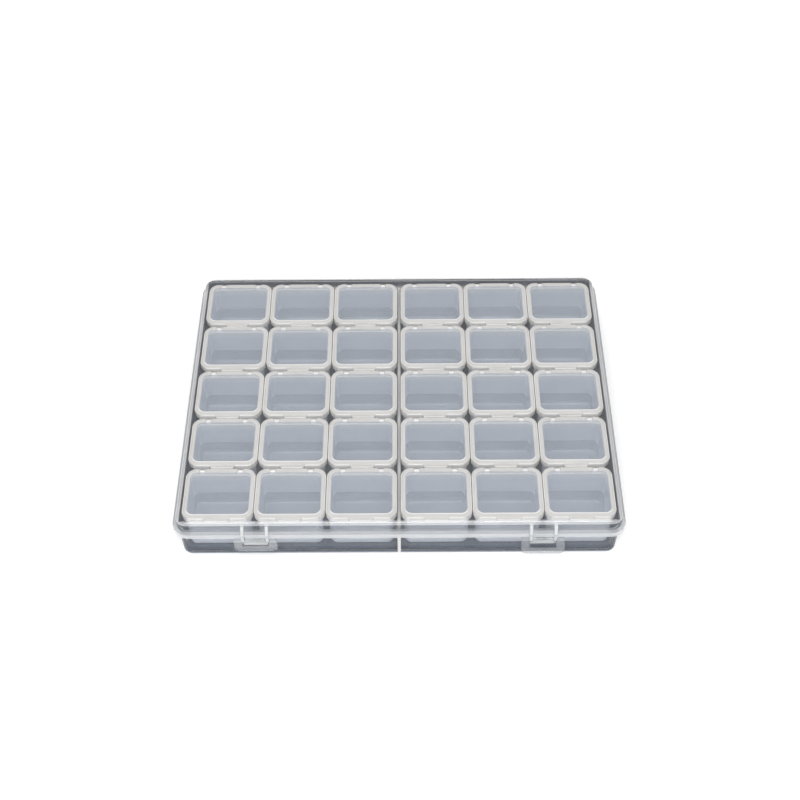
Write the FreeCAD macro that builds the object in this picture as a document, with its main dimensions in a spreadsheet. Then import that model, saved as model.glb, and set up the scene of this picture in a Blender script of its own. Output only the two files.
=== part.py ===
import FreeCAD, Part
import os
import re
import Sketcher

# A flat see-through organizer case: a tray, a hinged cover with two latches, and a grid of small
# flip-top boxes. X runs across the front, Y from front to back, Z up from the table. The origin is on
# the table under the middle of the case. Lengths are millimetres and angles degrees.

COLUMNS = 6
ROWS = 5
SIDES = {"left": "-1", "right": "1"}
ENDS = {"near": "-1", "far": "1"}

SIZES = {
    # the grid of small boxes
    "pitch_across": 34.0,
    "pitch_deep": 31.1,
    "column_gap": 0.3,
    "row_gap": 0.5,
    "middle_gap": 1.6,
    # small cup
    "cup_height": 22.65,
    "cup_wall": 1.0,
    "cup_floor": 1.0,
    "cup_draft": 1.3,
    "cup_corner": 4.0,
    "cup_foot_round": 1.5,
    "cup_inner_round": 0.8,
    # small lid
    "cap_plate": 1.0,
    "cap_corner": 5.0,
    "cap_skirt_depth": 2.0,
    "cap_skirt_wall": 0.9,
    "cap_clearance": 0.15,
    "cap_seat_gap": 0.05,
    "cap_edge_round": 0.3,
    "frame_side": 2.25,
    "frame_back": 2.4,
    "frame_front": 2.9,
    "frame_corner": 3.0,
    "frame_step": 0.3,
    "frame_edge_round": 0.15,
    "tab_length": 1.3,
    "tab_root_width": 12.0,
    "tab_tip_width": 10.4,
    "tab_thickness": 1.0,
    "tab_drop": 0.35,
    # hinge of a small box
    "pivot_inset": 1.1,
    "pivot_barrel_radius": 1.0,
    "pivot_pin_radius": 0.55,
    "pivot_fit": 0.05,
    "pivot_lug_width": 2.4,
    "pivot_lug_reach": 8.0,
    "pivot_side_gap": 0.15,
    "pivot_wall_gap": 0.25,
    # tray of the case
    "side_margin": 4.2,
    "end_margin": 4.75,
    "rim_corner": 7.5,
    "rim_overhang": 2.4,
    "base_floor": 1.3,
    "base_wall": 1.4,
    "base_draft": 1.0,
    "base_foot_round": 2.0,
    "base_inner_round": 1.0,
    "lip_thickness": 1.2,
    "divider_wall": 1.6,
    "divider_drop": 1.5,
    # cover of the case
    "cover_height": 7.8,
    "cover_top": 1.4,
    "cover_wall": 1.3,
    "cover_draft": 3.0,
    "cover_top_round": 1.5,
    "cover_headroom": 0.6,
    "flange_ledge": 1.7,
    "flange_thickness": 1.5,
    "seam_gap": 0.05,
    "skirt_depth": 1.4,
    "skirt_wall": 0.9,
    "skirt_clearance": 0.2,
    # rear hinge of the case
    "hinge_inset": 52.0,
    "hinge_length": 20.0,
    "hinge_lug_width": 2.6,
    "hinge_radius": 1.4,
    "hinge_pin_radius": 0.8,
    "hinge_fit": 0.05,
    "hinge_side_gap": 0.2,
    "hinge_standoff": 0.6,
    "hinge_notch_gap": 0.3,
    # latches
    "latch_inset": 39.2,
    "latch_width": 20.4,
    "latch_reach": 8.2,
    "latch_thickness": 1.2,
    "latch_corner": 2.0,
    "latch_edge_round": 0.25,
    "latch_lip": 0.5,
    "latch_lip_height": 1.3,
    "latch_window_width": 12.6,
    "latch_window_height": 2.8,
    "latch_window_drop": 3.1,
    "latch_barrel_radius": 0.9,
    "latch_pin_radius": 0.5,
    "latch_fit": 0.05,
    "latch_side_gap": 0.2,
    "latch_shoulder": 0.55,
    "ear_spacing": 11.5,
    "ear_width": 1.4,
    "ear_radius": 1.0,
    "rib_proud": 0.7,
    "catch_bite": 0.32,
    "catch_gap": 0.4,
    "catch_side_gap": 0.6,
    "latch_left_angle": 5.5,
    "latch_right_angle": 34.0,
    # modelling allowances
    "overrun": 2.0,
    "pick_tolerance": 0.001,
}

# Sizes and places that follow from the ones above. The box places are measured from a box's own hinge
# axis, the case places from the middle of the case.
LAYOUT = {
    "rim_width": f"{COLUMNS} * pitch_across + middle_gap + 2 * side_margin",
    "rim_depth": f"{ROWS} * pitch_deep + 2 * end_margin",
    "cup_top": "base_floor + cup_height",
    "cap_bottom": "cup_top + cap_seat_gap",
    "cap_top": "cap_bottom + cap_plate",
    "cover_under": "cap_top + cover_headroom",
    "case_height": "cover_under + cover_top",
    "seam": "case_height - cover_height",
    "skirt_bottom": "seam - skirt_depth",
    "flange_bottom": "seam + seam_gap",
    "flange_top": "flange_bottom + flange_thickness",
    "cap_width": "pitch_across - column_gap",
    "cap_depth": "pitch_deep - tab_length - row_gap",
    "cap_front": "pivot_inset - cap_depth",
    "cap_middle": "pivot_inset - cap_depth / 2",
    "cup_back": "-(pivot_barrel_radius + pivot_wall_gap)",
    "cup_front": "cap_front + cap_skirt_wall + cap_clearance",
    "cup_depth": "cup_back - cup_front",
    "cup_middle": "(cup_back + cup_front) / 2",
    "cup_width": "cap_width - 2 * (cap_skirt_wall + cap_clearance)",
    "barrel_length": "2 * (pivot_lug_reach - pivot_side_gap)",
    "lug_span": "2 * (pivot_lug_reach + pivot_lug_width)",
    "base_width": "rim_width - 2 * rim_overhang",
    "base_depth": "rim_depth - 2 * rim_overhang",
    "base_corner": "rim_corner - rim_overhang",
    "lip_inset": "skirt_wall + skirt_clearance",
    "cover_width": "rim_width - 2 * flange_ledge",
    "cover_depth": "rim_depth - 2 * flange_ledge",
    "cover_corner": "rim_corner - flange_ledge",
    "hinge_offset": "rim_width / 2 - hinge_inset",
    "hinge_y": "rim_depth / 2 + hinge_standoff",
    "hinge_barrel_length": "hinge_length - 2 * (hinge_lug_width + hinge_side_gap)",
    "latch_offset": "rim_width / 2 - latch_inset",
    "latch_y": "skirt_wall - rim_depth / 2 - ear_radius",
    "latch_z": "skirt_bottom - ear_radius",
    "latch_bottom": "ear_radius - latch_reach",
    "latch_window_top": "ear_radius - latch_window_drop",
    "latch_window_bottom": "latch_window_top - latch_window_height",
    "latch_notch_width": "ear_width + 2 * latch_side_gap",
    "latch_barrel_length": "ear_spacing - latch_notch_width",
    "catch_face": "latch_y + latch_thickness / 2 - catch_bite",
    "catch_low": "latch_z + latch_window_bottom + catch_gap",
    "catch_high": "latch_z + latch_window_top - catch_gap",
}

doc = FreeCAD.newDocument("craft_organizer")


def formula(text):
    # Written with plain names, read with the sheet that each name is kept in.
    def with_sheet(match):
        word = match.group()
        if word in SIZES:
            return f"Sizes.{word}"
        if word in LAYOUT:
            return f"Layout.{word}"
        return word
    return re.sub(r"[a-z]+(?:_[a-z]+)*", with_sheet, text)


def fill_sheet(name, cells):
    sheet = doc.addObject("Spreadsheet::Sheet", name)
    for row, (alias, content) in enumerate(cells.items(), start=1):
        sheet.set(f"A{row}", alias)
        sheet.set(f"B{row}", content)
        sheet.setAlias(f"B{row}", alias)
    doc.recompute()
    return sheet


sizes = fill_sheet("Sizes", {alias: str(number) for alias, number in SIZES.items()})
fill_sheet("Layout", {alias: "=" + formula(text) for alias, text in LAYOUT.items()})


def value(text):
    return float(sizes.evalExpression(formula(text)))


def bind(item, prop, text):
    item.setExpression(prop, formula(text))


# Sketches

def new_sketch(body, name, role, offset):
    # The offset is along the plane's own two directions and its normal.
    sketch = body.newObject("Sketcher::SketchObject", name)
    plane = next(item for item in body.Origin.OriginFeatures if item.Role == role)
    sketch.AttachmentSupport = [(plane, "")]
    sketch.MapMode = "FlatFace"
    for axis, text in zip("xyz", offset):
        bind(sketch, f"AttachmentOffset.Base.{axis}", text)
    return sketch


def hold(sketch, name, text, kind, *geometry):
    index = sketch.addConstraint(Sketcher.Constraint(kind, *geometry, value(text)))
    sketch.renameConstraint(index, name)
    bind(sketch, f"Constraints.{name}", text)


def rounded_rectangle(body, name, z, width, depth, corner, y="0"):
    # Four sides and four corner arcs about the sketch's origin, drawn in turn from the front side.
    sketch = new_sketch(body, name, "XY_Plane", ("0", y, z))
    radius = value(corner)
    reach_x = value(width) / 2
    reach_y = value(depth) / 2
    quarter = FreeCAD.Rotation(FreeCAD.Vector(0, 0, 1), 90)
    turn = FreeCAD.Rotation()
    for side in range(4):
        along, out = (reach_x, reach_y) if side % 2 == 0 else (reach_y, reach_x)
        start = turn.multVec(FreeCAD.Vector(radius - along, -out, 0))
        end = turn.multVec(FreeCAD.Vector(along - radius, -out, 0))
        centre = turn.multVec(FreeCAD.Vector(along - radius, radius - out, 0))
        after = turn.multVec(FreeCAD.Vector(along, radius - out, 0))
        middle = centre + ((end - centre) + (after - centre)).normalize() * radius
        sketch.addGeometry(Part.LineSegment(start, end))
        sketch.addGeometry(Part.Arc(end, middle, after))
        turn = quarter.multiply(turn)
    for item in range(8):
        sketch.addConstraint(Sketcher.Constraint("Tangent", item, 2, (item + 1) % 8, 1))
    for item in (0, 2, 4, 6):
        sketch.addConstraint(Sketcher.Constraint("Vertical" if item % 4 else "Horizontal", item))
    for item in (3, 5, 7):
        sketch.addConstraint(Sketcher.Constraint("Equal", 1, item))
    sketch.addConstraint(Sketcher.Constraint("Symmetric", 0, 1, 4, 1, -1, 1))
    hold(sketch, "corner", corner, "Radius", 1)
    hold(sketch, "flat_width", f"({width}) - 2 * ({corner})", "DistanceX", 0, 1, 0, 2)
    hold(sketch, "flat_depth", f"({depth}) - 2 * ({corner})", "DistanceY", 2, 1, 2, 2)
    return sketch


def outline(body, name, role, offset, points):
    # A closed run of straight lines through points given as pairs of formulas.
    sketch = new_sketch(body, name, role, offset)
    corners = [FreeCAD.Vector(value(across), value(up), 0) for across, up in points]
    count = len(corners)
    for item in range(count):
        sketch.addGeometry(Part.LineSegment(corners[item], corners[(item + 1) % count]))
    for item in range(count):
        sketch.addConstraint(Sketcher.Constraint("Coincident", item, 2, (item + 1) % count, 1))
    for item, (across, up) in enumerate(points):
        hold(sketch, f"across_{item}", across, "DistanceX", item, 1)
        hold(sketch, f"up_{item}", up, "DistanceY", item, 1)
    return sketch


def box_points(low_x, high_x, low_y, high_y):
    return [(low_x, low_y), (high_x, low_y), (high_x, high_y), (low_x, high_y)]


def disc(body, name, x, y, z, radius):
    # A circle about an axis that runs across the case.
    sketch = new_sketch(body, name, "YZ_Plane", (y, z, x))
    sketch.addGeometry(Part.Circle(FreeCAD.Vector(0, 0, 0), FreeCAD.Vector(0, 0, 1), value(radius)))
    sketch.addConstraint(Sketcher.Constraint("Coincident", 0, 3, -1, 1))
    hold(sketch, "radius", radius, "Radius", 0)
    return sketch


# Features

def extrude(kind, sketch, length, draft="0", backwards=False, symmetric=False):
    body = sketch.getParentGeoFeatureGroup()
    feature = body.newObject(kind, f"{sketch.Name}_{kind.split('::')[1].lower()}")
    feature.Profile = sketch
    feature.SideType = "Symmetric" if symmetric else "One side"
    feature.Reversed = backwards
    bind(feature, "Length", length)
    if draft != "0":
        bind(feature, "TaperAngle", draft)
    doc.recompute()
    return feature


def pad(sketch, length, **options):
    return extrude("PartDesign::Pad", sketch, length, **options)


def pocket(sketch, length, **options):
    before = sketch.getParentGeoFeatureGroup().Shape.Volume
    feature = extrude("PartDesign::Pocket", sketch, length, **options)
    if feature.Shape.Volume >= before:
        raise RuntimeError(f"{feature.Name} cuts nothing")
    return feature


def round_edges(body, name, radius, wanted):
    tip = body.Tip
    picked = [f"Edge{index}" for index, edge in enumerate(tip.Shape.Edges, start=1) if wanted(edge)]
    feature = body.newObject("PartDesign::Fillet", name)
    feature.Base = (tip, picked)
    bind(feature, "Radius", radius)
    doc.recompute()


def lies_at(height):
    level = value(height)
    tolerance = value("pick_tolerance")
    return lambda edge: all(abs(vertex.Z - level) < tolerance for vertex in edge.Vertexes)


def new_body(name):
    return doc.addObject("PartDesign::Body", name)


# Solids that join a body, or are taken from it

def rod(name, x, y, z, length, radius):
    # A round bar that runs across the case, about its middle.
    item = doc.addObject("Part::Cylinder", name)
    across = FreeCAD.Rotation(FreeCAD.Vector(0, 1, 0), 90)
    item.Placement = FreeCAD.Placement(FreeCAD.Vector(), across)
    bind(item, "Radius", radius)
    bind(item, "Height", length)
    set_place(item, f"{x} - ({length}) / 2", y, z)
    return item


def block(name, x, width, low_y, high_y, low_z, high_z):
    # A box about its own middle across the case.
    item = doc.addObject("Part::Box", name)
    bind(item, "Length", width)
    bind(item, "Width", f"{high_y} - ({low_y})")
    bind(item, "Height", f"{high_z} - ({low_z})")
    set_place(item, f"{x} - ({width}) / 2", low_y, low_z)
    return item


def set_place(item, x, y, z):
    for axis, text in zip("xyz", (x, y, z)):
        bind(item, f"Placement.Base.{axis}", text)


def place_copy(source, label, x, y, z="0"):
    copy = doc.addObject("App::Link", label)
    copy.LinkedObject = source
    copy.Label = label
    set_place(copy, x, y, z)
    return copy


def joined(name, items):
    fuse = doc.addObject("Part::MultiFuse", name)
    fuse.Shapes = items
    fuse.Refine = True
    doc.recompute()
    return fuse


def taken_from(name, base, tools):
    group = doc.addObject("Part::Compound", f"{name}_tools")
    group.Links = tools
    cut = doc.addObject("Part::Cut", name)
    cut.Base = base
    cut.Tool = group
    cut.Refine = True
    doc.recompute()
    if cut.Shape.Volume >= base.Shape.Volume:
        raise RuntimeError(f"{name} cuts nothing")
    return cut


# Tray of the case

def make_base():
    body = new_body("tray")
    shell = rounded_rectangle(body, "tray_shell", "seam", "base_width", "base_depth", "base_corner")
    pad(shell, "seam", draft="-base_draft", backwards=True)
    round_edges(body, "tray_foot_round", "base_foot_round", lies_at("0"))
    lip = rounded_rectangle(body, "tray_lip", "seam", "rim_width - 2 * lip_inset",
                            "rim_depth - 2 * lip_inset", "rim_corner - lip_inset")
    pad(lip, "lip_thickness", backwards=True)
    inside = rounded_rectangle(body, "tray_inside", "seam", "base_width - 2 * base_wall",
                               "base_depth - 2 * base_wall", "base_corner - base_wall")
    pocket(inside, "seam - base_floor", draft="-base_draft")
    round_edges(body, "tray_inner_round", "base_inner_round", lies_at("base_floor"))
    # The middle wall reaches halfway into the floor and into the front and back walls.
    end = "(base_depth - base_wall) / 2"
    divider = outline(body, "divider", "XY_Plane", ("0", "0", "base_floor / 2"),
                      box_points("-divider_wall / 2", "divider_wall / 2", f"-{end}", end))
    pad(divider, "seam - divider_drop - base_floor / 2")
    catch = make_catch()
    lugs = []
    bores = []
    for side, sign in SIDES.items():
        lugs.append(place_copy(catch, f"catch_{side}", f"{sign} * latch_offset", "0"))
        lugs.extend(hinge_lugs(side, sign))
        bores.append(rod(f"hinge_bore_{side}", f"{sign} * hinge_offset", "hinge_y", "seam",
                         "hinge_length + overrun", "hinge_pin_radius + hinge_fit"))
    base = taken_from("base", joined("tray_with_lugs", [body] + lugs), bores)
    base.Label = "case_base"
    return base


def make_catch():
    # A nose on the front wall that stands in the window of the closed latch.
    body = new_body("catch")
    root = "base_wall / 2 - base_depth / 2"
    nose = outline(body, "catch_nose", "YZ_Plane", ("0", "0", "0"),
                   [(root, "catch_low"), ("catch_face", "catch_low"),
                    ("catch_face", "(catch_low + catch_high) / 2"),
                    ("catch_face + catch_bite", "catch_high"), (root, "catch_high")])
    pad(nose, "latch_window_width - 2 * catch_side_gap", symmetric=True)
    return body


def hinge_lugs(side, sign):
    # Each lug is a round eye with a web back to the tray's lip.
    items = []
    for end, way in ENDS.items():
        x = f"{sign} * hinge_offset + {way} * (hinge_length - hinge_lug_width) / 2"
        items.append(rod(f"hinge_eye_{side}_{end}", x, "hinge_y", "seam", "hinge_lug_width",
                         "hinge_radius"))
        items.append(block(f"hinge_web_{side}_{end}", x, "hinge_lug_width",
                           "rim_depth / 2 - lip_inset - skirt_clearance", "hinge_y",
                           "seam - hinge_radius", "seam - seam_gap"))
    return items


# Cover of the case

def make_cover():
    body = new_body("cover_shell")
    rim = rounded_rectangle(body, "cover_rim", "skirt_bottom", "rim_width", "rim_depth", "rim_corner")
    pad(rim, "flange_top - skirt_bottom")
    shell = rounded_rectangle(body, "cover_wall", "flange_bottom", "cover_width", "cover_depth",
                              "cover_corner")
    pad(shell, "case_height - flange_bottom", draft="-cover_draft")
    round_edges(body, "cover_top_edge", "cover_top_round", lies_at("case_height"))
    inside = rounded_rectangle(body, "cover_inside", "flange_bottom", "cover_width - 2 * cover_wall",
                               "cover_depth - 2 * cover_wall", "cover_corner - cover_wall")
    pocket(inside, "cover_under - flange_bottom", draft="-cover_draft", backwards=True)
    seat = rounded_rectangle(body, "cover_seat", "skirt_bottom", "rim_width - 2 * skirt_wall",
                             "rim_depth - 2 * skirt_wall", "rim_corner - skirt_wall")
    pocket(seat, "flange_bottom - skirt_bottom", backwards=True)
    # No skirt hangs behind the corners at the back, where it would foul the tray as the cover swings.
    rear = block("cover_rear", "0", "rim_width + overrun", "rim_depth / 2 - rim_corner",
                 "rim_depth / 2 + overrun", "skirt_bottom - overrun", "flange_bottom")
    rib = make_latch_rib()
    notches = []
    additions = []
    bores = []
    for side, sign in SIDES.items():
        latch_x = f"{sign} * latch_offset"
        hinge_x = f"{sign} * hinge_offset"
        for end, way in ENDS.items():
            additions.append(place_copy(rib, f"rib_{side}_{end}", f"{latch_x} + {way} * ear_spacing / 2",
                                        "0"))
            # The flange is notched round the tray's hinge lugs.
            notches.append(block(f"hinge_notch_{side}_{end}",
                                 f"{hinge_x} + {way} * (hinge_length - hinge_lug_width) / 2",
                                 "hinge_lug_width + 2 * hinge_side_gap",
                                 "hinge_y - hinge_radius - hinge_notch_gap", "rim_depth / 2 + overrun",
                                 "skirt_bottom", "flange_top + overrun"))
        additions.append(rod(f"hinge_barrel_{side}", hinge_x, "hinge_y", "seam", "hinge_barrel_length",
                             "hinge_radius"))
        additions.append(rod(f"hinge_pin_{side}", hinge_x, "hinge_y", "seam", "hinge_length",
                             "hinge_pin_radius"))
        bores.append(rod(f"ear_bore_{side}", latch_x, "latch_y", "latch_z",
                         "ear_spacing + ear_width + overrun", "latch_pin_radius + latch_fit"))
    notched = taken_from("cover_notched", body, [rear] + notches)
    cover = taken_from("cover", joined("cover_with_ribs", [notched] + additions), bores)
    cover.Label = "case_lid"
    return cover


def make_latch_rib():
    # An upright rib on the front wall, which runs down over the rim and ends in an ear.
    body = new_body("latch_rib")
    front = "latch_y - ear_radius"
    back = "latch_y + ear_radius"
    wall_foot = "cover_wall / 2 - cover_depth / 2"
    rib_top = "case_height - cover_top_round"
    wall_head = f"{wall_foot} + ({rib_top} - flange_bottom) * tan(cover_draft)"
    shoulder = "flange_top - rib_proud"
    profile = [(back, "latch_z"), (front, "latch_z"), (front, shoulder),
               (f"{wall_head} - cover_wall / 2 - rib_proud", rib_top), (wall_head, rib_top),
               (wall_foot, shoulder), (back, shoulder)]
    rib = outline(body, "rib_side", "YZ_Plane", ("0", "0", "0"), profile)
    pad(rib, "ear_width", symmetric=True)
    ear = disc(body, "rib_ear", "0", "latch_y", "latch_z", "ear_radius")
    pad(ear, "ear_width", symmetric=True)
    return body


# Latch, drawn shut about its own pivot

def make_latch():
    body = new_body("latch_flap")
    half = "latch_width / 2"
    flap = outline(body, "flap", "XZ_Plane", ("0", "0", "0"),
                   box_points(f"-{half}", half, "latch_bottom", "latch_shoulder"))
    pad(flap, "latch_thickness", symmetric=True)
    level = value("latch_bottom")
    corner_x = value(half)
    tolerance = value("pick_tolerance")

    def lower_corner(edge):
        first, last = edge.Vertexes
        return (abs(first.X - last.X) < tolerance and abs(abs(first.X) - corner_x) < tolerance
                and abs(first.Z - level) < tolerance and abs(last.Z - level) < tolerance)
    round_edges(body, "latch_corner_round", "latch_corner", lower_corner)
    lip_half = "(latch_width / 2 - latch_corner)"
    lip = outline(body, "latch_lip_face", "XZ_Plane", ("0", "0", "0"),
                  box_points(f"-{lip_half}", lip_half, "latch_bottom", "latch_bottom + latch_lip_height"))
    pad(lip, "latch_thickness / 2 + latch_lip")
    lip_face = value("-(latch_thickness / 2 + latch_lip)")
    round_edges(body, "latch_lip_round", "latch_edge_round",
                lambda edge: all(abs(vertex.Y - lip_face) < tolerance for vertex in edge.Vertexes))
    through = "latch_thickness / 2 + latch_lip + overrun"
    cuts = [block("latch_window", "0", "latch_window_width", f"-({through})", through,
                  "latch_window_bottom", "latch_window_top")]
    for end, way in ENDS.items():
        cuts.append(block(f"latch_notch_{end}", f"{way} * ear_spacing / 2", "latch_notch_width",
                          f"-({through})", through, "-(ear_radius + latch_side_gap)",
                          "latch_shoulder + overrun"))
    barrel = rod("latch_barrel", "0", "0", "0", "latch_barrel_length", "latch_barrel_radius")
    pin = rod("latch_pin", "0", "0", "0", "ear_spacing + ear_width", "latch_pin_radius")
    return joined("latch", [taken_from("latch_open", body, cuts), barrel, pin])


# Small box: its cup and its lid, both drawn about the box's hinge axis

def make_cup():
    body = new_body("cup_shell")
    shell = rounded_rectangle(body, "cup_outside", "cup_top", "cup_width", "cup_depth", "cup_corner",
                              y="cup_middle")
    pad(shell, "cup_height", draft="-cup_draft", backwards=True)
    round_edges(body, "cup_foot", "cup_foot_round", lies_at("base_floor"))
    inside = rounded_rectangle(body, "cup_inside", "cup_top", "cup_width - 2 * cup_wall",
                               "cup_depth - 2 * cup_wall", "cup_corner - cup_wall", y="cup_middle")
    pocket(inside, "cup_height - cup_floor", draft="-cup_draft")
    round_edges(body, "cup_inner_foot", "cup_inner_round", lies_at("base_floor + cup_floor"))
    lugs = []
    for end, way in ENDS.items():
        x = f"{way} * (pivot_lug_reach + pivot_lug_width / 2)"
        lugs.append(rod(f"cup_eye_{end}", x, "0", "cap_bottom", "pivot_lug_width", "pivot_barrel_radius"))
        lugs.append(block(f"cup_web_{end}", x, "pivot_lug_width", "cup_back - cup_wall / 2", "0",
                          "cap_bottom - pivot_barrel_radius", "cap_bottom - 2 * cap_seat_gap"))
    bore = rod("cup_bore", "0", "0", "cap_bottom", "lug_span + overrun", "pivot_pin_radius + pivot_fit")
    return taken_from("cup", joined("cup_with_lugs", [body] + lugs), [bore])


def make_cap():
    body = new_body("cap_shell")
    block_bottom = "cap_bottom - cap_skirt_depth"
    outside = rounded_rectangle(body, "cap_outside", block_bottom, "cap_width", "cap_depth",
                                "cap_corner", y="cap_middle")
    pad(outside, "cap_skirt_depth + cap_plate")
    round_edges(body, "cap_edge", "cap_edge_round", lies_at("cap_top"))
    # The hollow runs out at the back, so that its rear corners fall outside the lid.
    hollow_depth = "cap_depth - cap_skirt_wall + cap_corner"
    hollow = rounded_rectangle(body, "cap_hollow", block_bottom, "cap_width - 2 * cap_skirt_wall",
                               hollow_depth, "cap_corner - cap_skirt_wall",
                               y=f"cap_front + cap_skirt_wall + ({hollow_depth}) / 2")
    pocket(hollow, "cap_skirt_depth", backwards=True)
    window_depth = "(cap_depth - frame_back - frame_front)"
    window = rounded_rectangle(body, "cap_window", "cap_top", "cap_width - 2 * frame_side", window_depth,
                               "frame_corner", y=f"pivot_inset - frame_back - {window_depth} / 2")
    pocket(window, "frame_step")
    round_edges(body, "cap_frame_edge", "frame_edge_round", frame_edge)
    root = "tab_root_width / 2"
    tip = "tab_tip_width / 2"
    tab_root = "cap_front + cap_skirt_wall / 2"
    tab_end = "cap_front - tab_length"
    tab = outline(body, "tab", "XY_Plane", ("0", "0", "cap_top - tab_drop - tab_thickness"),
                  [(f"-{root}", tab_root), (f"-{root}", "cap_front"), (f"-{tip}", tab_end),
                   (tip, tab_end), (root, "cap_front"), (root, tab_root)])
    pad(tab, "tab_thickness")
    # The skirt stops short of the hinge, and the plate is notched round the cup's lugs.
    cuts = [block("cap_rear", "0", "cap_width + overrun", "cup_back - cap_clearance",
                  "pivot_inset + overrun", f"{block_bottom} - overrun", "cap_bottom")]
    for end, way in ENDS.items():
        cuts.append(block(f"cap_notch_{end}", f"{way} * (pivot_lug_reach + pivot_lug_width / 2)",
                          "pivot_lug_width + 2 * pivot_side_gap", "cup_back", "pivot_inset + overrun",
                          "cap_bottom - overrun", "cap_top + overrun"))
    barrel = rod("cap_barrel", "0", "0", "cap_bottom", "barrel_length", "pivot_barrel_radius")
    pin = rod("cap_pin", "0", "0", "cap_bottom", "lug_span", "pivot_pin_radius")
    return joined("cap", [taken_from("cap_notched", body, cuts), barrel, pin])


def frame_edge(edge):
    # The upper edge of the sunk middle, which stays inside the frame.
    inside = value("cap_width / 2 - frame_side + pick_tolerance")
    front = value("cap_front + frame_front - pick_tolerance")
    back = value("pivot_inset - frame_back + pick_tolerance")
    at_top = lies_at("cap_top")
    return at_top(edge) and all(abs(vertex.X) < inside and front < vertex.Y < back
                                for vertex in edge.Vertexes)


# Places

def column_x(column):
    # Half of the columns stand on each side of the middle wall.
    sign = "-1" if column <= COLUMNS / 2 else "1"
    return f"({column} - {(COLUMNS + 1) / 2}) * pitch_across + {sign} * middle_gap / 2"


def row_y(row):
    return f"({row} - {ROWS / 2}) * pitch_deep - row_gap / 2 - pivot_inset"


def place_latch(latch, side, sign):
    copy = place_copy(latch, f"latch_{side}", f"{sign} * latch_offset", "latch_y", "latch_z")
    swing = FreeCAD.Rotation(FreeCAD.Vector(-1, 0, 0), value(f"latch_{side}_angle"))
    copy.Placement = FreeCAD.Placement(copy.Placement.Base, swing)
    bind(copy, "Placement.Rotation.Angle", f"latch_{side}_angle")
    return copy


def place_boxes(cup, cap):
    parts = []
    for row in range(1, ROWS + 1):
        cups = []
        for column in range(1, COLUMNS + 1):
            place = f"r{row}_c{column}"
            cups.append(place_copy(cup, f"box_cup_{place}", column_x(column), row_y(row)))
            parts.append(place_copy(cap, f"box_lid_{place}", column_x(column), row_y(row)))
        if row < ROWS:
            parts.extend(cups)
        else:
            # The cups of the back row share one node.
            group = doc.addObject("Part::Compound", "box_cups_back_row")
            group.Links = cups
            parts.append(group)
    return parts


def check_document(parts):
    # A copy has the solid of what it is linked to, so each solid is tested once.
    failed = [item.Name for item in doc.Objects if {"Invalid", "Error"} & set(item.State)]
    failed += [part.Label for part in parts if Part.getShape(part).isNull()]
    sources = {getattr(part, "LinkedObject", part) for part in parts}
    failed += [item.Label for item in sources if not item.Shape.Solids or not item.Shape.isValid()]
    if failed:
        raise RuntimeError("failed: " + ", ".join(failed))


def main():
    latch = make_latch()
    parts = [make_base(), make_cover()]
    parts += [place_latch(latch, side, sign) for side, sign in SIDES.items()]
    parts += place_boxes(make_cup(), make_cap())
    doc.recompute()
    check_document(parts)
    os.makedirs("parts", exist_ok=True)
    for part in parts:
        Part.getShape(part).exportStep(f"parts/{part.Label}.step")
    print(len(parts), "nodes written")


main()
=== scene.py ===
import bpy
import functools
import math
from mathutils import Matrix, Vector


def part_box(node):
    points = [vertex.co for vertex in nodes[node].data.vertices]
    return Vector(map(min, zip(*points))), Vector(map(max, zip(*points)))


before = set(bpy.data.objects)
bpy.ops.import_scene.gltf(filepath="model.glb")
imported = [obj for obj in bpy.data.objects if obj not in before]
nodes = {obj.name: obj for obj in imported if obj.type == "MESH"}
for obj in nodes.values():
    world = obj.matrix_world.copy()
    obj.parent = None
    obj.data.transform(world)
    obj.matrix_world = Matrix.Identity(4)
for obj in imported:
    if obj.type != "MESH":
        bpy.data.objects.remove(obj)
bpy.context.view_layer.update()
mm = 0.001
smooth = {"interpolation_type": "SMOOTHSTEP"}


def middleOf(name):
    low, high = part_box(name)
    return (low + high) / 2


def hexColour(text):
    # sRGB hex to the linear values that shaders take
    parts = [int(text[i:i + 2], 16) / 255 for i in (1, 3, 5)]
    linear = [c / 12.92 if c <= 0.04045 else ((c + 0.055) / 1.055) ** 2.4 for c in parts]
    return (*linear, 1.0)


def addNode(tree, kind, *sources, named=None, **settings):
    # sources fill the node's live sockets in order, named ones by name, each as a link or as a value
    node = tree.nodes.new("ShaderNode" + kind)
    for name, setting in settings.items():
        setattr(node, name, setting)
    live = [socket for socket in node.inputs if socket.enabled]
    pairs = list(zip(live, sources))
    pairs += [(node.inputs[name], source) for name, source in (named or {}).items()]
    for socket, source in pairs:
        if isinstance(source, bpy.types.Node):
            source = next(output for output in source.outputs if output.enabled)
        if isinstance(source, bpy.types.NodeSocket):
            tree.links.new(source, socket)
        else:
            socket.default_value = source
    return node


def startMaterial(name):
    material = bpy.data.materials.new(name)
    material.use_nodes = True
    material.node_tree.nodes.clear()
    return material, functools.partial(addNode, material.node_tree)


def flowMarks(add, look):
    # slow waves that moulding leaves in a skin, too shallow to see but for the gloss
    place = add("TexCoord").outputs["Object"]
    waves = add("TexNoise", named={
        "Vector": place, "Scale": 1 / look["flowSpacing"], "Detail": look["flowDetail"]})
    bump = add("Bump", named={"Height": waves, "Distance": look["flowDepth"]})
    return place, waves, bump


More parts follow.
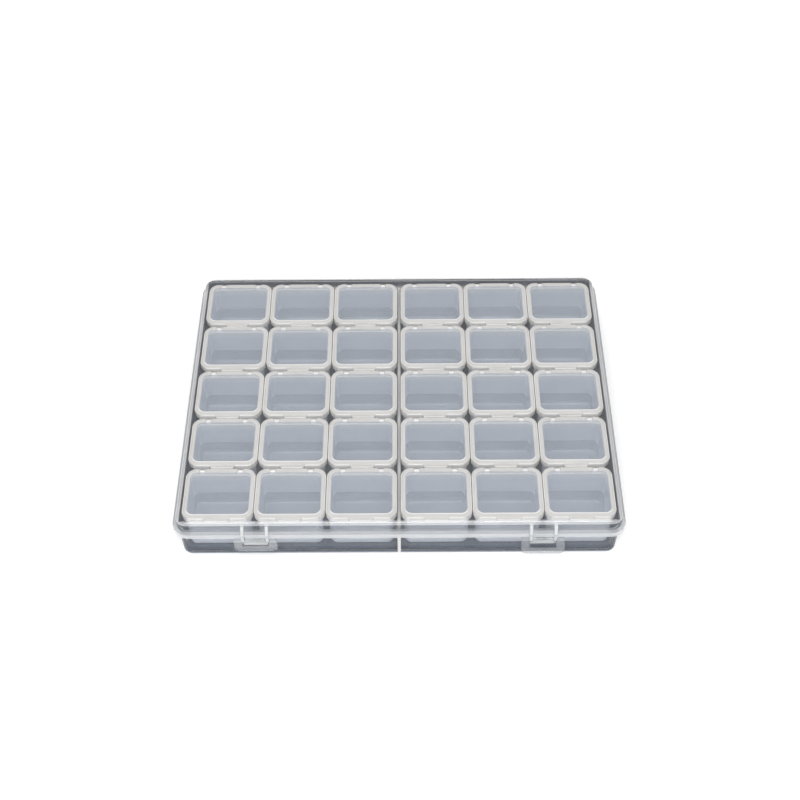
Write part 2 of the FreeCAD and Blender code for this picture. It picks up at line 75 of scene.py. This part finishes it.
def finishPlastic(add, look, colour, haze, waves, bump):
    # a milky body that shows what is behind it, under a clear skin that mirrors most at a glancing angle;
    # a sight line that slants through the wall meets more of the milk
    facing = add("LayerWeight", named={"Blend": look["facingBlend"], "Normal": bump}).outputs["Facing"]
    straight = add("Math", 1.0, facing, operation="SUBTRACT")
    straight = add("Math", straight, look["steepest"], operation="MAXIMUM")
    path = add("MapRange", waves, 0.0, 1.0, 1 - look["uneven"], 1 + look["uneven"])
    path = add("Math", path, straight, operation="DIVIDE")
    clear = add("Math", 1.0, haze, operation="SUBTRACT")
    clear = add("Math", clear, path, operation="POWER")
    body = add("BsdfPrincipled", named={
        "Base Color": colour, "Roughness": look["roughness"], "IOR": look["ior"],
        "Alpha": add("Math", 1.0, clear, operation="SUBTRACT"), "Normal": bump})
    glancing = add("Math", facing, look["mirrorPower"], operation="POWER")
    mirror = add("Math", glancing, look["mirrorEdge"], look["mirrorFace"], operation="MULTIPLY_ADD")
    skin = add("BsdfAnisotropic", named={"Roughness": look["skinRoughness"], "Normal": bump})
    add("OutputMaterial", add("MixShader", mirror, body, skin))


def dress(material, names):
    for name in names:
        mesh = nodes[name].data
        mesh.materials.clear()
        mesh.materials.append(material)


# polypropylene as moulded: IOR 1.49, a soft gloss, milky in the thick places
moulded = {
    "ior": 1.49,
    "roughness": 0.3,
    "skinRoughness": 0.12,
    "mirrorFace": 0.04,
    "mirrorEdge": 0.9,
    "mirrorPower": 5.0,
    "facingBlend": 0.5,
    "steepest": 0.16,
    "uneven": 0.25,
    "flowSpacing": 14 * mm,
    "flowDepth": 0.02 * mm,
    "flowDetail": 2.0,
}

# the grid of small boxes, read off the frame
grid = {
    "rows": 5,
    "columnsPerSide": 3,
    "sideMargin": 4.2 * mm,
    "endMargin": 4.75 * mm,
}
pitchAcross = middleOf("box_lid_r1_c2").x - middleOf("box_lid_r1_c1").x
pitchDeep = middleOf("box_lid_r2_c1").y - middleOf("box_lid_r1_c1").y
middleGap = 2 * middleOf("box_lid_r1_c4").x - pitchAcross
latchAcross = middleOf("latch_right").x
rimAcross = grid["columnsPerSide"] * pitchAcross + middleGap / 2 + grid["sideMargin"]   # half the rim's width
rimDeep = grid["rows"] / 2 * pitchDeep + grid["endMargin"]   # half its depth
lidNames = sorted(name for name in nodes if name.startswith("box_lid"))
cupNames = sorted(name for name in nodes if name.startswith("box_cup"))
print("grid", len(lidNames), "lids", len(cupNames), "cup nodes", round(pitchAcross, 5), round(pitchDeep, 5))


# one small box: its window's depth, and where its cell of the grid starts in front of the window's middle
box = {
    "windowDepth": 24.0 * mm,
    "frameFront": 2.9 * mm,
    "tabLength": 1.3 * mm,
    "cellFront": 16.5 * mm,
}


def boxPlace(add, spot):
    # place within one box of the grid: across from its middle, along from the middle of its window
    side = add("Math", spot["X"], operation="ABSOLUTE")
    side = add("Math", side, middleGap / 2, operation="SUBTRACT")
    cell = add("Math", side, pitchAcross, operation="FLOORED_MODULO")
    across = add("Math", cell, pitchAcross / 2, operation="SUBTRACT")
    across = add("Math", across, operation="ABSOLUTE")
    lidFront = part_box("box_lid_r1_c1")[0].y
    windowMiddle = lidFront + box["tabLength"] + box["frameFront"] + box["windowDepth"] / 2
    row = add("Math", spot["Y"], windowMiddle - box["cellFront"], operation="SUBTRACT")
    along = add("Math", row, pitchDeep, operation="FLOORED_MODULO")
    along = add("Math", along, box["cellFront"], operation="SUBTRACT")
    return across, along


# tray
tray = {
    **moulded,
    "smoke": "#4d5a6c",
    "milk": "#dededc",
    # the heavy smoke of the floor and side walls is painted shade
    "floorHaze": 0.9,
    "frontHaze": 0.03,
    "sideHaze": 0.5,
    "catchHaze": 0.42,
    "rimHaze": 0.35,
    "frontBand": 5.0 * mm,
    "floorBand": 2.6 * mm,
    "dividerHalf": 0.85 * mm,
    "overhang": 2.4 * mm,
    "softEdge": 0.2 * mm,
}


def smokedPolypropylene():
    # smoke-grey and see-through; the floor nearly opaque and the side walls half so, painted shade for the
    # dark seen through them; the rim, the catches and the middle wall look milky
    material, add = startMaterial("smokedPolypropylene")
    place, waves, bump = flowMarks(add, tray)
    spot = add("SeparateXYZ", place).outputs
    soft = tray["softEdge"]
    across = add("Math", spot["X"], operation="ABSOLUTE")
    deep = add("Math", spot["Y"], operation="ABSOLUTE")

    divider = add("MapRange", across, tray["dividerHalf"], tray["dividerHalf"] - soft, **smooth)
    outAcross = add("Math", across, rimAcross - tray["overhang"], operation="SUBTRACT")
    outDeep = add("Math", deep, rimDeep - tray["overhang"], operation="SUBTRACT")
    outside = add("Math", outAcross, outDeep, operation="MAXIMUM")
    overhang = add("MapRange", outside, soft, 2 * soft, **smooth)
    milky = add("Math", divider, overhang, operation="MAXIMUM")
    colour = add("Mix", milky, hexColour(tray["smoke"]), hexColour(tray["milk"]), data_type="RGBA")

    # the floor band, darkest of all: painted shade
    low = add("MapRange", spot["Z"], tray["floorBand"] + soft, tray["floorBand"] - soft, **smooth)
    frontLine = tray["frontBand"] - rimDeep
    front = add("MapRange", spot["Y"], frontLine + soft, frontLine - soft, **smooth)
    upright = add("MapRange", front, 0.0, 1.0, tray["sideHaze"], tray["frontHaze"])
    smoky = add("MapRange", low, 0.0, 1.0, upright, tray["floorHaze"])
    catches = add("Math", front, divider, operation="MAXIMUM")
    pale = add("MapRange", catches, 0.0, 1.0, tray["rimHaze"], tray["catchHaze"])
    haze = add("MapRange", milky, 0.0, 1.0, smoky, pale)
    finishPlastic(add, tray, colour, haze, waves, bump)
    return material


dress(smokedPolypropylene(), ["case_base"])
print("tray dressed")


# cover
cover = {
    **moulded,
    "milk": "#e4e5e6",
    "rim": "#c9cbce",
    # the walls' smoke colour is painted shade
    "smoke": "#4a525d",
    "topHaze": 0.02,
    # the milky band along the rounded edge is painted sheen
    "edgeSheenHaze": 0.3,
    "sideHaze": 0.75,
    "frontHaze": 0.2,
    "rimHaze": 0.42,
    "ledge": 2.0 * mm,
    "border": 1.7 * mm,
    "topThick": 1.4 * mm,
    "rimHeight": 20.85 * mm,
    "frontBand": 4.0 * mm,
    "ribApart": 5.75 * mm,
    "ribHalf": 0.7 * mm,
    "softEdge": 0.2 * mm,
}


def clearPolypropylene():
    # clear on top, with a painted sheen as a milky band along the rounded edge, the walls painted dark smoke
    # as shade, heavy on the sides, milky in the rim
    material, add = startMaterial("clearPolypropylene")
    place, waves, bump = flowMarks(add, cover)
    spot = add("SeparateXYZ", place).outputs
    soft = cover["softEdge"]
    inset = cover["ledge"] + cover["border"]
    across = add("Math", spot["X"], operation="ABSOLUTE")
    deep = add("Math", spot["Y"], operation="ABSOLUTE")

    outAcross = add("Math", across, rimAcross - inset, operation="SUBTRACT")
    outDeep = add("Math", deep, rimDeep - inset, operation="SUBTRACT")
    outside = add("Math", outAcross, outDeep, operation="MAXIMUM")
    # a band along the rounded edge of the top, made milky as painted sheen
    border = add("MapRange", outside, -soft, soft, **smooth)
    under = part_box("case_lid")[1].z - cover["topThick"]
    wall = add("MapRange", spot["Z"], under, under - 2 * soft, **smooth)
    rim = add("MapRange", spot["Z"], cover["rimHeight"] + soft, cover["rimHeight"] - soft, **smooth)
    front = add("MapRange", spot["Y"], cover["frontBand"] - rimDeep + inset, inset - rimDeep, **smooth)

    # the two ribs that carry each latch
    fromLatch = add("Math", across, latchAcross, operation="SUBTRACT")
    fromLatch = add("Math", fromLatch, operation="ABSOLUTE")
    fromRib = add("Math", fromLatch, cover["ribApart"], operation="SUBTRACT")
    fromRib = add("Math", fromRib, operation="ABSOLUTE")
    rib = add("MapRange", fromRib, cover["ribHalf"] + soft, cover["ribHalf"], **smooth)
    rib = add("Math", rib, add("Math", front, wall, operation="MULTIPLY"), operation="MULTIPLY")
    thick = add("Math", rim, rib, operation="MAXIMUM")

    # how heavy the painted wall shade lies: heavy on the side walls, light on the front
    upright = add("MapRange", front, 0.0, 1.0, cover["sideHaze"], cover["frontHaze"])
    haze = add("MapRange", border, 0.0, 1.0, cover["topHaze"], cover["edgeSheenHaze"])
    haze = add("MapRange", wall, 0.0, 1.0, haze, upright)
    haze = add("MapRange", thick, 0.0, 1.0, haze, cover["rimHaze"])
    # the walls outside the rim and ribs take the smoke colour: painted shade
    paintedWallShade = add("Math", wall, add("Math", wall, thick, operation="MINIMUM"), operation="SUBTRACT")
    colour = add("Mix", rim, hexColour(cover["milk"]), hexColour(cover["rim"]), data_type="RGBA")
    colour = add("Mix", paintedWallShade, colour, hexColour(cover["smoke"]), data_type="RGBA")
    finishPlastic(add, cover, colour, haze, waves, bump)
    return material


dress(clearPolypropylene(), ["case_lid"])
print("cover dressed")


# latches
latch = {
    **moulded,
    "milk": "#aeb2b5",
    "haze": 0.17,
}


def latchPolypropylene():
    # thin flaps, evenly milky, so that the wall behind them still shows
    material, add = startMaterial("latchPolypropylene")
    waves, bump = flowMarks(add, latch)[1:]
    finishPlastic(add, latch, hexColour(latch["milk"]), latch["haze"], waves, bump)
    return material


dress(latchPolypropylene(), ["latch_left", "latch_right"])
print("latches dressed")


# cups of the small boxes
# the haze of each zone of the cup's walls is painted light and shade
cup = {
    **moulded,
    "thin": "#d9e0eb",
    "thick": "#eae9e7",
    "floorHaze": 0.36,
    "shadeBandHaze": 0.16,
    "wallHaze": 0.68,
    "frontHaze": 0.62,
    "brimHaze": 0.85,
    "floorTop": 2.6 * mm,
    "shadeBandFront": 1.6 * mm,
    "shadeBandBack": 10.4 * mm,
    "frontWall": -13.0 * mm,
    "frontBand": 1.5 * mm,
    "backWall": 11.0 * mm,
    "brimDrop": 1.05 * mm,
    "brimBand": 5.0 * mm,
    "softEdge": 0.2 * mm,
}


def cupPolypropylene():
    # thin walls scatter a little blue; the zones of the walls are painted light and shade: a clearer, darker
    # band low down that rises towards the back, brighter milky walls above it and at the front, and whiter
    # towards the brim, partly the thick brim's own milk and partly painted light
    material, add = startMaterial("cupPolypropylene")
    place, waves, bump = flowMarks(add, cup)
    spot = add("SeparateXYZ", place).outputs
    height = spot["Z"]
    along = boxPlace(add, spot)[1]
    soft = cup["softEdge"]

    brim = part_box("box_lid_r1_c1")[1].z - cup["brimDrop"]
    near = add("MapRange", height, brim - cup["brimBand"], brim, **smooth)
    low = add("MapRange", height, cup["floorTop"] + soft, cup["floorTop"] - soft, **smooth)
    # painted shade: a clearer, darker band along the bottom of the walls, higher towards the back
    shadeBandTop = add("MapRange", along, cup["frontWall"], cup["backWall"], cup["shadeBandFront"], cup["shadeBandBack"])
    aboveShadeBand = add("Math", height, shadeBandTop, operation="SUBTRACT")
    shadeBand = add("MapRange", aboveShadeBand, soft, -soft, **smooth)
    frontLine = cup["frontWall"] + cup["frontBand"]
    front = add("MapRange", along, frontLine + soft, frontLine - soft, **smooth)

    # each zone's haze sets how bright it looks: painted light and shade in place of the light the cups get
    haze = add("MapRange", front, 0.0, 1.0, cup["wallHaze"], cup["frontHaze"])
    haze = add("MapRange", near, 0.0, 1.0, haze, cup["brimHaze"])
    haze = add("MapRange", shadeBand, 0.0, 1.0, haze, cup["shadeBandHaze"])
    haze = add("MapRange", low, 0.0, 1.0, haze, cup["floorHaze"])
    colour = add("Mix", near, hexColour(cup["thin"]), hexColour(cup["thick"]), data_type="RGBA")
    finishPlastic(add, cup, colour, haze, waves, bump)
    return material


dress(cupPolypropylene(), cupNames)
print("cups dressed")


# lids of the small boxes
boxLid = {
    **moulded,
    "thin": "#ced9e8",
    "thick": "#ebe9e6",
    # bright is the colour of the painted highlights along the front edges
    "bright": "#f3f2f0",
    "frameHaze": 0.5,
    "windowHaze": 0.15,
    # how milky the painted highlights and the painted side sheen lie
    "highlightHaze": 0.75,
    "sideHaze": 0.75,
    "frameSide": 2.25 * mm,
    "windowCorner": 3.0 * mm,
    "tabHalf": 6.0 * mm,
    "highlightWidth": 0.5 * mm,
    "highlightInner": 0.35 * mm,
    "highlightOuter": 0.65 * mm,
    "highlightReach": 3.0 * mm,
    "softEdge": 0.5 * mm,
}


def boxLidPolypropylene():
    # a milky frame round a clear window, with painted highlights along the front edges; the outline repeats
    # with the grid
    material, add = startMaterial("boxLidPolypropylene")
    place, waves, bump = flowMarks(add, boxLid)
    spot = add("SeparateXYZ", place).outputs
    across, along = boxPlace(add, spot)
    left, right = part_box("box_lid_r1_c1")
    halfWidth = (right.x - left.x) / 2
    windowHalf = box["windowDepth"] / 2
    soft, corner, highlight = boxLid["softEdge"], boxLid["windowCorner"], boxLid["highlightWidth"]
    highlightInner, highlightOuter = boxLid["highlightInner"], boxLid["highlightOuter"]

    # how far outside the window's rounded outline
    overX = add("Math", across, halfWidth - boxLid["frameSide"] - corner, operation="SUBTRACT")
    overX = add("Math", overX, 0.0, operation="MAXIMUM")
    overY = add("Math", along, operation="ABSOLUTE")
    overY = add("Math", overY, windowHalf - corner, operation="SUBTRACT")
    overY = add("Math", overY, 0.0, operation="MAXIMUM")
    squareY = add("Math", overY, overY, operation="MULTIPLY")
    reach = add("Math", overX, overX, squareY, operation="MULTIPLY_ADD")
    reach = add("Math", reach, operation="SQRT")
    beyond = add("Math", reach, corner, operation="SUBTRACT")
    framed = add("MapRange", beyond, -soft, soft, **smooth)

    # painted highlights: white lines along the window's front edge and along the lip with its tab; a painted
    # milky sheen along the sides
    innerHighlight = add("MapRange", beyond, -highlight / 2, 0.0, **smooth)
    innerHighlightEnd = add("MapRange", beyond, highlight * 1.5, highlight, **smooth)
    nearFront = add("MapRange", along, boxLid["highlightReach"] - windowHalf, -windowHalf, **smooth)
    innerHighlight = add("Math", innerHighlight, innerHighlightEnd, operation="MULTIPLY")
    innerHighlight = add("Math", innerHighlight, nearFront, operation="MULTIPLY")
    plateFront = -windowHalf - box["frameFront"]
    tab = add("MapRange", across, boxLid["tabHalf"] + soft, boxLid["tabHalf"] - soft, **smooth)
    edge = add("MapRange", tab, 0.0, 1.0, plateFront, plateFront - box["tabLength"])
    lipHighlight = add("Math", along, edge, operation="SUBTRACT")
    lipHighlight = add("MapRange", lipHighlight, highlightOuter, highlightInner, **smooth)
    highlights = add("Math", innerHighlight, lipHighlight, operation="MAXIMUM")
    sideSheen = add("MapRange", across, halfWidth - highlightOuter, halfWidth - highlightInner, **smooth)

    haze = add("MapRange", framed, 0.0, 1.0, boxLid["windowHaze"], boxLid["frameHaze"])
    haze = add("MapRange", sideSheen, 0.0, 1.0, haze, boxLid["sideHaze"])
    haze = add("MapRange", highlights, 0.0, 1.0, haze, boxLid["highlightHaze"])
    colour = add("Mix", framed, hexColour(boxLid["thin"]), hexColour(boxLid["thick"]), data_type="RGBA")
    colour = add("Mix", highlights, colour, hexColour(boxLid["bright"]), data_type="RGBA")
    finishPlastic(add, boxLid, colour, haze, waves, bump)
    return material


dress(boxLidPolypropylene(), lidNames)
print("box lids dressed")


# floor and light
stage = {
    "floorSize": 6.0,
    "floor": "#e8e8e8",
    "glow": 0.25,
    "world": 0.6,
    "backdrop": 1.0,
    "keyPlace": (0.0, -0.45, 0.85),
    "keySize": (0.7, 0.5),
    "keyPower": 6.5,
    "stripPlace": (0.0, 1.1, 0.33),
    "stripSize": (1.4, 0.22),
    "stripPower": 3.0,
    "fillPlace": (-0.35, -1.0, 0.35),
    "fillSize": (0.8, 0.4),
    "fillPower": 3.8,
}


def paleFloor():
    # matt paint that keeps the shadow; it glows a little to the eye alone, so that it reads as white
    material, add = startMaterial("paleFloor")
    matt = add("BsdfDiffuse", hexColour(stage["floor"]))
    rays = add("LightPath").outputs
    seen = add("Math", rays["Is Camera Ray"], rays["Is Glossy Ray"], operation="MAXIMUM")
    seen = add("Math", seen, rays["Is Transmission Ray"], operation="MAXIMUM")
    strength = add("Math", seen, stage["glow"], operation="MULTIPLY")
    glow = add("Emission", named={"Strength": strength})
    add("OutputMaterial", add("AddShader", matt, glow))
    return material


def addFloor():
    half = stage["floorSize"] / 2
    corners = [(-half, -half, 0), (half, -half, 0), (half, half, 0), (-half, half, 0)]
    mesh = bpy.data.meshes.new("floor")
    mesh.from_pydata(corners, [], [(0, 1, 2, 3)])
    mesh.materials.append(paleFloor())
    floor = bpy.data.objects.new("floor", mesh)
    bpy.context.scene.collection.objects.link(floor)


def addLamp(name, place, size, power, mirrored):
    # a softbox aimed at the middle of the case
    data = bpy.data.lights.new(name, "AREA")
    data.shape = "RECTANGLE"
    data.size, data.size_y = size
    data.energy = power
    lamp = bpy.data.objects.new(name, data)
    lamp.visible_glossy = mirrored
    lamp.location = place
    lamp.rotation_euler = (-Vector(place)).to_track_quat("-Z", "Y").to_euler()
    bpy.context.scene.collection.objects.link(lamp)


def setWorld():
    # white to the eye, softer as light
    world = bpy.data.worlds.new("studio")
    world.use_nodes = True
    world.node_tree.nodes.clear()
    add = functools.partial(addNode, world.node_tree)
    seen = add("LightPath").outputs["Is Camera Ray"]
    strength = add("MapRange", seen, 0.0, 1.0, stage["world"], stage["backdrop"])
    add("OutputWorld", add("Background", (1, 1, 1, 1), strength))
    bpy.context.scene.world = world


addFloor()
addLamp("keySoftbox", stage["keyPlace"], stage["keySize"], stage["keyPower"], True)
addLamp("backStrip", stage["stripPlace"], stage["stripSize"], stage["stripPower"], False)
addLamp("fillSoftbox", stage["fillPlace"], stage["fillSize"], stage["fillPower"], False)
setWorld()
print("stage set")


# camera, fitted to the photograph
view = {
    "imageWidth": 800,
    "focalPixels": 1301,
    "sensorWidth": 36.0,
    "clipStart": 0.01,
    "clipEnd": 20.0,
    "elevation": 50.6,
    "yaw": 0.5,
    "roll": -0.7,
    "distance": 686.8 * mm,
    "target": (0.4 * mm, 15.0 * mm, 1.35 * mm),
    "clearLayers": 64,   # walls that a sight line may pass
}


def addCamera():
    data = bpy.data.cameras.new("camera")
    data.sensor_width = view["sensorWidth"]
    data.lens = view["focalPixels"] * view["sensorWidth"] / view["imageWidth"]
    data.clip_start = view["clipStart"]
    data.clip_end = view["clipEnd"]
    camera = bpy.data.objects.new("camera", data)
    elevation, yaw, roll = (math.radians(view[name]) for name in ("elevation", "yaw", "roll"))
    level = math.cos(elevation)
    back = Vector((math.sin(yaw) * level, -math.cos(yaw) * level, math.sin(elevation)))
    right = Vector((0, 0, 1)).cross(back).normalized()
    up = back.cross(right)
    across = math.cos(roll) * right + math.sin(roll) * up
    upright = math.cos(roll) * up - math.sin(roll) * right
    turn = Matrix((across, upright, back)).transposed().to_4x4()
    camera.matrix_world = Matrix.Translation(Vector(view["target"]) + back * view["distance"]) @ turn
    bpy.context.scene.collection.objects.link(camera)
    bpy.context.scene.camera = camera


addCamera()
bpy.context.scene.view_settings.view_transform = "Standard"
bpy.context.scene.cycles.transparent_max_bounces = view["clearLayers"]
print("camera set")
